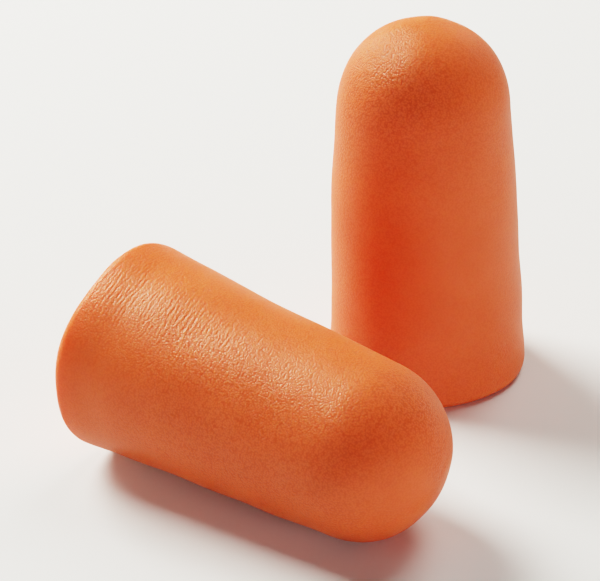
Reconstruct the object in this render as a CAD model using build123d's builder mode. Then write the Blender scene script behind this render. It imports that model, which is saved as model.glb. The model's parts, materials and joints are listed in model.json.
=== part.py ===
from build123d import *
from math import acos, atan2, cos, degrees, hypot, radians, sin
import os

# A pair of uncorded foam ear plugs, in millimetres. One stands on its flat base, and the other
# lies beside it on its side, tip forward. Each is a single piece of foam: a flat base with a
# rounded edge, a slight lip, a side that tapers to the tip, and a dome. Z = 0 is the surface
# that both rest on, and the origin is on it, at the middle of the pair.

# Driving dimensions
plug_length = 25.0
base_diameter = 13.7
tip_diameter = 11.5
edge_radius = 0.6  # rounding between the base and the side
lip_proud = 0.12  # how far the lip stands out of the straight taper, on the radius
lip_height = 3.5  # where the lip has run out into the straight taper

# Layout of the pair: the middle of each base, seen from above, and the way the lying tip points.
# The spots put the middle of the pair's box on the Z axis.
upright_spot = (8.6, 9.9)
lying_spot = (-11.33, 1.22)
lying_heading = -39.5  # degrees from +X, turning towards +Y

dome_radius = tip_diameter / 2
dome_centre = plug_length - dome_radius
edge_centre = (base_diameter / 2 - edge_radius, edge_radius)
taper_start = base_diameter / 2 - lip_proud  # where the straight taper would meet the base


def lean(centre, radius):
    """Angle in radians from the plug's axis to the line that touches the outside of the dome and
    of a circle low on the side. A point is a circle of radius 0."""
    along = centre[1] - dome_centre
    apart = hypot(centre[0], along)
    return atan2(along, centre[0]) + acos((dome_radius - radius) / apart)


# The straight taper runs into the dome without a break
taper_lean = lean((taper_start, 0), 0)
taper_end = (dome_radius * cos(taper_lean), dome_centre + dome_radius * sin(taper_lean))
taper_slope = (taper_end[0] - taper_start) / taper_end[1]
lip_end = (taper_start + taper_slope * lip_height, lip_height)

# The lying plug rests on its base's rounded edge and its dome, and the lip starts from that edge
rest_lean = lean(edge_centre, edge_radius)
lip_foot = (
    edge_centre[0] + edge_radius * cos(rest_lean),
    edge_centre[1] + edge_radius * sin(rest_lean),
)
lying_rise = lip_foot[0] * cos(rest_lean) + lip_foot[1] * sin(rest_lean)

# Each plug's half section lies in a plane with X across the plug and Y along it, from the base
heading = radians(lying_heading)
upright_section = Plane(
    origin=(upright_spot[0], upright_spot[1], 0),
    x_dir=(1, 0, 0),
    z_dir=(0, -1, 0),
)
lying_section = Plane(
    origin=(lying_spot[0], lying_spot[1], lying_rise),
    x_dir=(sin(rest_lean) * cos(heading), sin(rest_lean) * sin(heading), cos(rest_lean)),
    z_dir=(-sin(heading), cos(heading), 0),
)
plug_sections = {"upright_plug": upright_section, "lying_plug": lying_section}

os.makedirs("parts", exist_ok=True)

for node_name, section in plug_sections.items():
    with BuildPart() as plug:
        with BuildSketch(section):
            with BuildLine():
                Line((0, plug_length), (0, 0))
                Line((0, 0), (edge_centre[0], 0))
                CenterArc(edge_centre, edge_radius, -90, 90 + degrees(rest_lean))
                Spline(
                    lip_foot,
                    lip_end,
                    tangents=[(-sin(rest_lean), cos(rest_lean)), (taper_slope, 1)],
                )
                Line(lip_end, taper_end)
                CenterArc(
                    (0, dome_centre),
                    dome_radius,
                    degrees(taper_lean),
                    90 - degrees(taper_lean),
                )
            make_face()
        revolve(axis=Axis(section.origin, section.y_dir))
    plug.part.label = node_name
    export_step(plug.part, f"parts/{node_name}.step")
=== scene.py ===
"""The looks of a pair of orange foam ear plugs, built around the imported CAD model. Metres, +Z up.

Each CAD plug is replaced by one closed foam mesh. Its outline is the CAD plug's, and its skin has
the small lumps, cross wrinkles and grain of soft moulded foam.
"""

import json
import math

import bpy
import numpy as np
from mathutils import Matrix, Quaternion, Vector


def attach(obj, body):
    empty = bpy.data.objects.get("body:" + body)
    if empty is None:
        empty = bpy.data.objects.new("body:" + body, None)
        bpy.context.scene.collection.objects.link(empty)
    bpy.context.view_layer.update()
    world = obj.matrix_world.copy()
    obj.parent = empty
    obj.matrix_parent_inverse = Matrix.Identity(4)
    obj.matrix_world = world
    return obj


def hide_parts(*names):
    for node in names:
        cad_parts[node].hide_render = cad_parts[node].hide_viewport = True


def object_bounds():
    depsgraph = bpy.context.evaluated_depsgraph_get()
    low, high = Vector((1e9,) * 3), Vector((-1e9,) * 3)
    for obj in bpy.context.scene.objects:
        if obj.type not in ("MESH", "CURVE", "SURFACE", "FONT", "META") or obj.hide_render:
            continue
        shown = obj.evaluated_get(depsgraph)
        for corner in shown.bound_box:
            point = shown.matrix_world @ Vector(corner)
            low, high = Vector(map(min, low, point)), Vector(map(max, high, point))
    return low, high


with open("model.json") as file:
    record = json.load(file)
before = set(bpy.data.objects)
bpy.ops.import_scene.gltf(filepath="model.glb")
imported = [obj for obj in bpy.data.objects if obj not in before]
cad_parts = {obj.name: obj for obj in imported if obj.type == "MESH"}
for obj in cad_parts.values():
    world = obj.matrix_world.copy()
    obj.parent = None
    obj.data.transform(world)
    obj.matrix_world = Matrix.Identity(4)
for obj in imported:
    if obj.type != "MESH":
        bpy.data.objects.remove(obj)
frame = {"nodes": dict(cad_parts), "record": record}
cad_low, cad_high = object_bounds()

MM = 0.001

# The CAD outline's small features
EDGE_RADIUS = 0.6 * MM  # rounding between the base and the side
LIP_PROUD = 0.12 * MM  # how far the lip stands out of the straight taper
LIP_HEIGHT = 3.5 * MM  # where the lip has run out into the straight taper
DOME_STRETCH = (0.85, 0.99)  # the shares of the length between which the dome is measured

# Mesh rows along each stretch of the outline, and columns round the axis
BASE_ROWS = 26
EDGE_ROWS = 16
LIP_ROWS = 56
TAPER_ROWS = 228
DOME_ROWS = 100
COLUMNS = 216

# The skin's relief
BASE_DISH = 0.12 * MM  # depth of the middle of the base
DISH_SHARE = 0.85  # how far out the dish reaches, as a share of the base's radius
SWELL_HEIGHT = 0.05 * MM  # slow unevenness all over
SWELL_SIZE = 6.0 * MM
ROWS_PER_SWELL = 20  # how finely its noise is worked out
WRINKLE_SPACING = 0.29 * MM
WRINKLE_HEIGHT = 0.05 * MM
ROWS_PER_WRINKLE = 8
SPACING_SPREAD = 0.45  # how much the wrinkles' spacing varies, as a share of it
CROSS_SPREAD = 0.65  # how much they stray from running straight round, as a share too
CREASE_ROUNDING = 0.04  # 0 makes the creases between them sharp
FAINT_NOISE = 0.45  # the noise strength that leaves a wrinkle half its height
SIDE_START = (-1.5 * MM, 0.5 * MM)  # where they fade in, as distances past the flat base's edge
POLE_REACH = 2.5 * MM  # the relief fades out from here to the axis

# The skin's grain, too fine for the mesh
GRAIN_SIZE = 0.13 * MM
GRAIN_DEPTH = 0.05 * MM
PLAIN_GRAIN = 0.5  # its strength where no patch adds to it
ALL_ROUND = 400  # a patch this many degrees wide fades little on its way round the plug

# The foam's colours, and the shade painted into its pits and creases
MOTTLE_SIZE = 4.0 * MM
DEEP_ORANGE = (0.88, 0.166, 0.066)
PALE_ORANGE = (0.95, 0.192, 0.080)
MOTTLE_RANGE = (0.3, 0.7)  # noise values that give the deep and the pale orange
# Painted shade in the grain's pits: the colour is darkened there as shade would darken it
PIT_PAINTED_SHADE = (0.72, 0.56, 0.48)
PIT_RANGE = (0.3, 0.75)  # how far from a pebble's middle, in cells, the painted shade starts and is full
# Painted shade in the wrinkles' creases: the colour is darkened there as shade would darken it
CREASE_PAINTED_SHADE = (0.80, 0.62, 0.52)
CREASE_RANGE = (-0.4, 0.2)  # wrinkle values that get all of the crease's painted shade and none
UNSHADED = (1.0, 1.0, 1.0)

# The studio
FLOOR_REACH = 0.38  # the floor's radius, in metres
FLOOR_CORNERS = 96
LIGHT_DISTANCE = 0.4
BOX = (0.2, 0.2)  # a square soft box, its width and height
SMALL_BOX = (0.1, 0.1)
STRIP = (0.3, 0.04)  # a long low soft box
WHITE = (1.0, 1.0, 1.0)
WARM = (1.0, 0.96, 0.82)
AMBER = (1.0, 0.72, 0.48)
CREAM = (0.95, 1.0, 0.7)
ROSE = (1.0, 0.88, 0.88)
PAPER = (0.9, 0.92, 0.97, 1.0)  # the floor as the camera sees it
PAPER_BOUNCE = (0.5, 0.5, 0.5, 1.0)  # the floor as it lights the foam
BACKDROP = (1.3, 1.28, 1.25, 1.0)


# ---------------------------------------------------------------- the CAD plugs

def measured_plug(node, base_mount, face_way):
    """Where a CAD plug lies and its main sizes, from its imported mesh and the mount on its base.
    Angles round the axis are counted from face_way."""
    mount = next(m for m in frame["record"]["mounts"] if m["name"] == base_mount)
    base = np.array(mount["pos_m"])
    axis = -np.array(mount["axis"]) / np.linalg.norm(mount["axis"])
    points = np.array([v.co for v in frame["nodes"][node].data.vertices]) - base
    along = points @ axis
    off_axis = np.linalg.norm(points - np.outer(along, axis), axis=1)
    length = along.max()
    on_dome = (along > DOME_STRETCH[0] * length) & (along < DOME_STRETCH[1] * length)
    drop = length - along[on_dome]
    zero_way = np.array(face_way) - axis * (axis @ face_way)
    zero_way /= np.linalg.norm(zero_way)
    return {
        "base": base,
        "axis": axis,
        "zero_way": zero_way,
        "quarter_way": np.cross(axis, zero_way),
        "length": float(length),
        "base_radius": float(off_axis.max()),
        "dome_radius": float(np.median((off_axis[on_dome] ** 2 + drop**2) / (2 * drop))),
    }


# ---------------------------------------------------------------- outline

def lean(centre_x, centre_y, radius, dome_radius, dome_centre):
    """Angle from the plug's axis to the line that touches the dome and a circle low on the side."""
    along = centre_y - dome_centre
    apart = math.hypot(centre_x, along)
    return math.atan2(along, centre_x) + math.acos((dome_radius - radius) / apart)


def arc(centre, radius, start, end, rows):
    """Points on an arc from angle start to angle end."""
    turn = np.linspace(start, end, rows)
    return np.stack([centre[0] + radius * np.cos(turn), centre[1] + radius * np.sin(turn)], axis=1)


def blend_curve(start, end, start_way, end_way, rows):
    """A smooth stretch from start to end that leaves and arrives along the given ways."""
    t = np.linspace(0, 1, rows)[:, None]
    start, end = np.array(start), np.array(end)
    reach = np.linalg.norm(end - start)
    leave = np.array(start_way) / np.linalg.norm(start_way) * reach
    arrive = np.array(end_way) / np.linalg.norm(end_way) * reach
    return (
        (2 * t**3 - 3 * t**2 + 1) * start
        + (t**3 - 2 * t**2 + t) * leave
        + (3 * t**2 - 2 * t**3) * end
        + (t**3 - t**2) * arrive
    )


def straight(start, end, rows):
    """Evenly spaced points from start to end."""
    share = np.linspace(0, 1, rows)[:, None]
    return np.array(start) * (1 - share) + np.array(end) * share


def plug_outline(plug):
    """Points from the middle of the base to the tip, as (distance from the axis, height)."""
    dome_radius = plug["dome_radius"]
    dome_centre = plug["length"] - dome_radius
    edge = (plug["base_radius"] - EDGE_RADIUS, EDGE_RADIUS)
    taper_start = plug["base_radius"] - LIP_PROUD
    taper_lean = lean(taper_start, 0, 0, dome_radius, dome_centre)
    rest_lean = lean(*edge, EDGE_RADIUS, dome_radius, dome_centre)
    dome_foot = (
        dome_radius * math.cos(taper_lean),
        dome_centre + dome_radius * math.sin(taper_lean),
    )
    slope = (dome_foot[0] - taper_start) / dome_foot[1]
    lip_end = (taper_start + slope * LIP_HEIGHT, LIP_HEIGHT)
    lip_way = (-math.sin(rest_lean), math.cos(rest_lean))
    rounding = arc(edge, EDGE_RADIUS, -math.pi / 2, rest_lean, EDGE_ROWS)
    return np.concatenate([
        straight((0, 0), (edge[0], 0), BASE_ROWS),
        rounding[1:],
        blend_curve(rounding[-1], lip_end, lip_way, (slope, 1), LIP_ROWS)[1:],
        straight(lip_end, dome_foot, TAPER_ROWS)[1:],
        arc((0, dome_centre), dome_radius, taper_lean, math.pi / 2, DOME_ROWS)[1:],
    ])


def outline_normals(outline):
    """Outward unit normals of the outline."""
    way = np.gradient(outline, axis=0)
    normals = np.stack([way[:, 1], -way[:, 0]], axis=1)
    return normals / np.linalg.norm(normals, axis=1, keepdims=True)


# ---------------------------------------------------------------- relief of the skin

def smooth_step(value, start, end):
    """0 up to start, 1 from end on, and a smooth rise between them."""
    t = np.clip((value - start) / (end - start), 0, 1)
    return t * t * (3 - 2 * t)


def filtered_noise(random, length, radius, step, response):
    """Noise on the unrolled skin, periodic round the plug: complex white noise through the filter
    response(cycles per metre along, cycles per metre round). Rows are a step apart."""
    rows = int(math.ceil(length / step)) + 1
    size = (2 * rows, COLUMNS)
    white = random.standard_normal(size) + 1j * random.standard_normal(size)
    along = np.fft.fftfreq(size[0], step)[:, None]
    around = np.fft.fftfreq(COLUMNS, 2 * math.pi * radius / COLUMNS)[None, :]
    field = np.fft.ifft2(np.fft.fft2(white) * response(along, around))[:rows]
    return field / np.sqrt((np.abs(field) ** 2).mean())


def at_rows(field, step, heights):
    """The field's rows read at the given distances along the skin."""
    place = np.clip(heights / step, 0, len(field) - 1.001)  # just short of the last row
    low = place.astype(int)
    share = (place - low)[:, None]
    return field[low] * (1 - share) + field[low + 1] * share


def swell(random, travel, radius):
    """Slow unevenness, mostly between -1 and 1 and now and then past 2."""
    step = SWELL_SIZE / ROWS_PER_SWELL

    def response(along, around):
        return np.exp(-(along**2 + around**2) * SWELL_SIZE**2)

    field = filtered_noise(random, travel[-1], radius, step, response).real
    return at_rows(field, step, travel)


def wrinkles(random, travel, radius):
    """Fine wrinkles that run round the plug: rounded ridges, up to about 0.3, between narrow
    creases, down to about -0.4."""
    step = WRINKLE_SPACING / ROWS_PER_WRINKLE
    pitch = 1 / WRINKLE_SPACING

    def response(along, around):
        off_pitch = (along - pitch) / (SPACING_SPREAD * pitch)
        off_round = around / (CROSS_SPREAD * pitch)
        return np.exp(-(off_pitch**2 + off_round**2))

    field = filtered_noise(random, travel[-1], radius, step, response)
    field = at_rows(field, step, travel)
    ridge = np.sqrt(np.cos(np.angle(field) / 2) ** 2 + CREASE_ROUNDING)
    fullness = np.abs(field) / (np.abs(field) + FAINT_NOISE)
    return (ridge - ridge.mean()) * fullness


def patch(travel, turn, place, angle, length, width):
    """A soft oval patch on the skin, 1 in its middle. Lengths in mm and angles in degrees."""
    off_angle = (turn[None, :] - math.radians(angle) + math.pi) % (2 * math.pi) - math.pi
    off_place = (travel[:, None] - place * MM) / (length * MM)
    return np.exp(-(off_place**2) - (off_angle / math.radians(width)) ** 2)


def patches(travel, turn, spots):
    """The sum of soft patches, each (distance from the base edge, angle, length, width, share)."""
    total = np.zeros((len(travel), len(turn)))
    for place, angle, length, width, share in spots:
        total += share * patch(travel, turn, place, angle, length, width)
    return total


# ---------------------------------------------------------------- the foam meshes

def closed_mesh(name, grid, skin_values):
    """A closed mesh through a grid of points whose first row is the middle of the base and whose
    last row is the tip. skin_values are grids of numbers that become the mesh's attributes."""
    rings = grid[1:-1]
    verts = np.concatenate([rings.reshape(-1, 3), grid[:1, 0], grid[-1:, 0]])
    row, column = np.meshgrid(np.arange(len(rings) - 1), np.arange(COLUMNS), indexing="ij")
    after = (column + 1) % COLUMNS
    quads = np.stack([
        row * COLUMNS + column,
        row * COLUMNS + after,
        (row + 1) * COLUMNS + after,
        (row + 1) * COLUMNS + column,
    ], axis=-1).reshape(-1, 4)
    base_middle, tip = len(verts) - 2, len(verts) - 1
    last = (len(rings) - 1) * COLUMNS
    columns = range(COLUMNS)
    fans = [(base_middle, (c + 1) % COLUMNS, c) for c in columns]
    fans += [(tip, last + c, last + (c + 1) % COLUMNS) for c in columns]
    mesh = bpy.data.meshes.new(name)
    mesh.from_pydata(verts.tolist(), [], quads.tolist() + fans)
    mesh.shade_smooth()
    for label, values in skin_values.items():
        flat = np.concatenate([values[1:-1].ravel(), values[0, :1], values[-1, :1]])
        mesh.attributes.new(label, "FLOAT", "POINT").data.foreach_set("value", flat.astype(np.float32))
    mesh.update()
    return mesh


def foam_plug(name, plug, seed, lumps, wrinkled, grainy):
    """One foam plug. lumps, wrinkled and grainy are patches as patches() takes them: how far the skin
    stands out in mm, how strong its wrinkles are, and how strong its grain is. The wrinkles and the
    grain also set how much shade the material paints into the creases and pits."""
    random = np.random.default_rng(seed)
    outline = plug_outline(plug)
    normals = outline_normals(outline)
    steps = np.linalg.norm(np.diff(outline, axis=0), axis=1)
    travel = np.concatenate([[0], np.cumsum(steps)])
    from_edge = travel - travel[BASE_ROWS - 1]
    turn = np.linspace(0, 2 * math.pi, COLUMNS, endpoint=False)
    side_share = smooth_step(from_edge, *SIDE_START)[:, None]
    pole_share = smooth_step(outline[:, 0], 0, POLE_REACH)[:, None]
    base_share = (from_edge <= 0)[:, None]

    uneven = swell(random, travel, plug["dome_radius"]) * SWELL_HEIGHT
    uneven = (uneven + patches(from_edge, turn, lumps) * MM) * pole_share
    fine = wrinkles(random, travel, plug["dome_radius"]) * side_share * pole_share
    fine *= patches(from_edge, turn, wrinkled)
    dish = BASE_DISH * (1 - smooth_step(outline[:, 0], 0, DISH_SHARE * plug["base_radius"]))
    proud = uneven + fine * WRINKLE_HEIGHT - dish[:, None] * base_share
    grain = np.clip(PLAIN_GRAIN + patches(from_edge, turn, grainy), 0, 1)

    out = np.outer(np.cos(turn), plug["zero_way"]) + np.outer(np.sin(turn), plug["quarter_way"])
    across = outline[:, 0, None] + normals[:, 0, None] * proud
    along = outline[:, 1, None] + normals[:, 1, None] * proud
    grid = across[:, :, None] * out[None] + along[:, :, None] * plug["axis"] + plug["base"]
    grid[:, :, 2] = np.maximum(grid[:, :, 2], 0)  # the floor presses the skin flat
    # the crease and grain values also set the painted shade in the material's creases and pits
    piece = bpy.data.objects.new(name, closed_mesh(name, grid, {"crease": fine, "grain": grain}))
    bpy.context.scene.collection.objects.link(piece)
    return piece


# ---------------------------------------------------------------- foam material

def foam_material():
    """Soft satin foam. Its pebble grain is a bump, as strong as the mesh's grain value says. Its pits
    and its creases get painted shade: their colour is darkened there as shade would darken it, in the
    pits as strongly as the grain value says."""
    material = bpy.data.materials.new("orange_foam")
    material.use_nodes = True
    tree = material.node_tree
    nodes, links = tree.nodes, tree.links
    shader = nodes["Principled BSDF"]
    shader.inputs["Subsurface Weight"].default_value = 0.6
    shader.inputs["Subsurface Radius"].default_value = (1.0, 0.35, 0.12)
    shader.inputs["Subsurface Scale"].default_value = 1.6 * MM
    shader.inputs["Sheen Weight"].default_value = 0.03
    shader.inputs["Sheen Roughness"].default_value = 0.3
    shader.inputs["Sheen Tint"].default_value = (1.0, 0.8, 0.65, 1)
    shader.inputs["Specular IOR Level"].default_value = 0.3
    shader.inputs["Roughness"].default_value = 0.42

    def ramp(source, tints, positions):
        node = nodes.new("ShaderNodeValToRGB")
        for stop, tint, position in zip(node.color_ramp.elements, tints, positions):
            stop.position = position
            stop.color = (*tint, 1)
        links.new(source, node.inputs["Fac"])
        return node.outputs["Color"]

    def skin_value(name):
        node = nodes.new("ShaderNodeAttribute")
        node.attribute_name = name
        return node.outputs["Fac"]

    def spread(source, limits):
        node = nodes.new("ShaderNodeMapRange")
        node.inputs["From Min"].default_value, node.inputs["From Max"].default_value = limits
        links.new(source, node.inputs["Value"])
        return node.outputs["Result"]

    def darkened(colour, shade, amount=None):
        node = nodes.new("ShaderNodeMix")
        node.data_type = "RGBA"
        node.blend_type = "MULTIPLY"
        node.inputs["Factor"].default_value = 1
        if amount:
            links.new(amount, node.inputs["Factor"])
        links.new(colour, node.inputs["A"])
        links.new(shade, node.inputs["B"])
        return node.outputs["Result"]

    place = nodes.new("ShaderNodeTexCoord").outputs["Object"]
    clouds = nodes.new("ShaderNodeTexNoise")
    clouds.inputs["Scale"].default_value = 1 / MOTTLE_SIZE
    clouds.inputs["Detail"].default_value = 3.0
    clouds.inputs["Roughness"].default_value = 0.5
    links.new(place, clouds.inputs["Vector"])
    pebbles = nodes.new("ShaderNodeTexVoronoi")
    pebbles.inputs["Scale"].default_value = 1 / GRAIN_SIZE
    links.new(place, pebbles.inputs["Vector"])

    grain = skin_value("grain")
    depth = pebbles.outputs["Distance"]
    fold = spread(skin_value("crease"), CREASE_RANGE)
    mottle = ramp(clouds.outputs["Fac"], (DEEP_ORANGE, PALE_ORANGE), MOTTLE_RANGE)
    # painted shade: darker colour in the pebble grain's pits
    painted_pit_shade = ramp(depth, (UNSHADED, PIT_PAINTED_SHADE), PIT_RANGE)
    # painted shade: darker colour in the wrinkles' creases
    painted_crease_shade = ramp(fold, (CREASE_PAINTED_SHADE, UNSHADED), (0, 1))
    # the mottled orange with painted shade in the grain's pits and the wrinkles' creases
    colour = darkened(darkened(mottle, painted_pit_shade, grain), painted_crease_shade)
    links.new(colour, shader.inputs["Base Color"])

    bump = nodes.new("ShaderNodeBump")
    bump.invert = True
    bump.inputs["Distance"].default_value = GRAIN_DEPTH
    links.new(grain, bump.inputs["Strength"])
    links.new(depth, bump.inputs["Height"])
    links.new(bump.outputs["Normal"], shader.inputs["Normal"])
    return material


# ---------------------------------------------------------------- studio

def soft_light(name, azimuth, rise, size, power, colour=WHITE, matt=True, glossy=True):
    """A rectangular soft light aimed at the middle of the pair. Its azimuth is counted from the
    camera's side towards the camera's right, and its rise from the floor, in degrees. Its size is
    in metres and its power in watts. It lights the matt and the glossy share of the foam, or one
    of them."""
    data = bpy.data.lights.new(name, "AREA")
    data.shape = "RECTANGLE"
    data.size, data.size_y = size
    data.energy = power
    data.color = colour
    lamp = bpy.data.objects.new(name, data)
    turn, lift = math.radians(azimuth), math.radians(rise)
    level = math.cos(lift)
    way = Vector((math.sin(turn) * level, -math.cos(turn) * level, math.sin(lift)))
    lamp.location = (cad_low + cad_high) / 2 + way * LIGHT_DISTANCE
    lamp.rotation_euler = way.to_track_quat("Z", "Y").to_euler()
    lamp.visible_camera = False
    lamp.visible_diffuse = matt
    lamp.visible_glossy = glossy
    bpy.context.scene.collection.objects.link(lamp)


def make_camera(target, distance, elevation, roll, lens):
    """A camera in front of the pair, which looks down on the target point. Its elevation and roll
    are in degrees, and its lens is in millimetres."""
    data = bpy.data.cameras.new("camera")
    data.sensor_width = 36
    data.lens = lens
    data.clip_start, data.clip_end = 0.01, 10
    camera = bpy.data.objects.new("camera", data)
    rise = math.radians(elevation)
    back = Vector((0, -math.cos(rise), math.sin(rise)))
    camera.location = Vector(target) + back * distance
    camera.rotation_mode = "QUATERNION"
    look = (-back).to_track_quat("-Z", "Y")
    camera.rotation_quaternion = look @ Quaternion((0, 0, 1), math.radians(roll))
    bpy.context.scene.collection.objects.link(camera)
    bpy.context.scene.camera = camera


def make_floor():
    """A pale round table top that reaches nearly as far as the lights do. The camera sees it paler
    than the light that it throws back onto the foam would make it."""
    mesh = bpy.data.meshes.new("floor")
    turns = np.linspace(0, 2 * math.pi, FLOOR_CORNERS, endpoint=False)
    corners = [(FLOOR_REACH * math.cos(t), FLOOR_REACH * math.sin(t), 0) for t in turns]
    mesh.from_pydata(corners, [], [range(FLOOR_CORNERS)])
    floor = bpy.data.objects.new("floor", mesh)
    bpy.context.scene.collection.objects.link(floor)
    paper = bpy.data.materials.new("paper")
    paper.use_nodes = True
    tree = paper.node_tree
    shader = tree.nodes["Principled BSDF"]
    seen = tree.nodes.new("ShaderNodeLightPath")
    tone = tree.nodes.new("ShaderNodeMix")
    tone.data_type = "RGBA"
    tone.inputs["A"].default_value = PAPER_BOUNCE
    tone.inputs["B"].default_value = PAPER
    tree.links.new(seen.outputs["Is Camera Ray"], tone.inputs["Factor"])
    tree.links.new(tone.outputs["Result"], shader.inputs["Base Color"])
    shader.inputs["Roughness"].default_value = 0.9
    mesh.materials.append(paper)


def make_world():
    """A pale backdrop that sheds no light of its own."""
    world = bpy.data.worlds.new("studio")
    world.use_nodes = True
    tree = world.node_tree
    background = tree.nodes["Background"]
    background.inputs["Color"].default_value = BACKDROP
    seen = tree.nodes.new("ShaderNodeLightPath")
    tree.links.new(seen.outputs["Is Camera Ray"], background.inputs["Strength"])
    bpy.context.scene.world = world


make_camera(
    target=(0.14 * MM, 20.67 * MM, 0),
    distance=211.2 * MM,
    elevation=28.0,
    roll=-1.66,
    lens=176.8,
)

foam = foam_material()
upright = measured_plug("upright_plug", "upright_base", (0, -1, 0))
lying = measured_plug("lying_plug", "lying_base", (0, 0, 1))
pieces = {
    "upright_plug": foam_plug(
        "upright_plug_foam",
        upright,
        seed=11,
        lumps=[
            (15.0, -90, 4.0, 40, 0.12),
            (3.0, -95, 4.0, 40, -0.18),
            (20.5, -90, 2.5, 30, -0.08),
            (20.5, 90, 2.5, 30, -0.18),
            (7.0, 90, 4.0, 30, 0.05),
            (0.6, 75, 1.5, 40, -0.14),
        ],
        wrinkled=[(22.5, -50, 4.0, 50, 0.6)],
        grainy=[(24.0, -50, 5.0, 60, 0.5), (10.0, 15, 8.0, 50, -0.35), (-4.0, 0, 3.0, ALL_ROUND, 0.4)],
    ),
    "lying_plug": foam_plug(
        "lying_plug_foam",
        lying,
        seed=5,
        lumps=[
            (0.5, -16, 1.0, 15, 0.14),
            (3.8, -36, 2.2, 25, 0.08),
            (9.5, -36, 2.5, 30, -0.07),
            (0.3, 26, 1.5, 16, -0.12),
            (0.3, 70, 1.5, 20, 0.13),
            (5.0, 144, 2.5, 30, 0.08),
            (14.0, 144, 4.0, 30, -0.07),
            (20.0, 144, 2.5, 30, -0.10),
            (25.2, 190, 2.5, 30, -0.12),
        ],
        wrinkled=[(2.5, 18, 6.0, 26, 0.9), (9.5, 28, 5.0, 20, 0.85), (4.0, 200, 6.0, 70, 0.3)],
        grainy=[
            (14.0, 55, 8.0, 60, 0.25),
            (23.0, -15, 4.0, 50, 0.4),
            (2.0, 80, 4.0, 35, -0.25),
            (27.0, 90, 3.5, 90, -0.3),
            (-4.0, 0, 3.0, ALL_ROUND, 0.4),
        ],
    ),
}
for node, piece in pieces.items():
    piece.data.materials.append(foam)
    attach(piece, node)
    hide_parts(node)

make_floor()
soft_light("key", 225, 42, BOX, 3.5, WARM, glossy=False)
soft_light("shine", 226, 40, SMALL_BOX, 2.9, CREAM, matt=False)
soft_light("overhead", 140, 55, BOX, 0.8, WARM, glossy=False)
soft_light("front_fill", 315, 42, BOX, 0.04)
soft_light("low_right", 45, 3, STRIP, 0.95, ROSE, glossy=False)
soft_light("low_left", 280, 5, STRIP, 0.3, ROSE, glossy=False)
soft_light("low_back", 180, 3, STRIP, 1.0, AMBER, glossy=False)
soft_light("low_back_left", 235, 3, STRIP, 1.3, AMBER, glossy=False)
soft_light("rim", 140, 22, STRIP, 0.2, WARM, matt=False)
make_world()
bpy.context.scene.view_settings.view_transform = "Filmic"
bpy.context.scene.view_settings.look = "High Contrast"
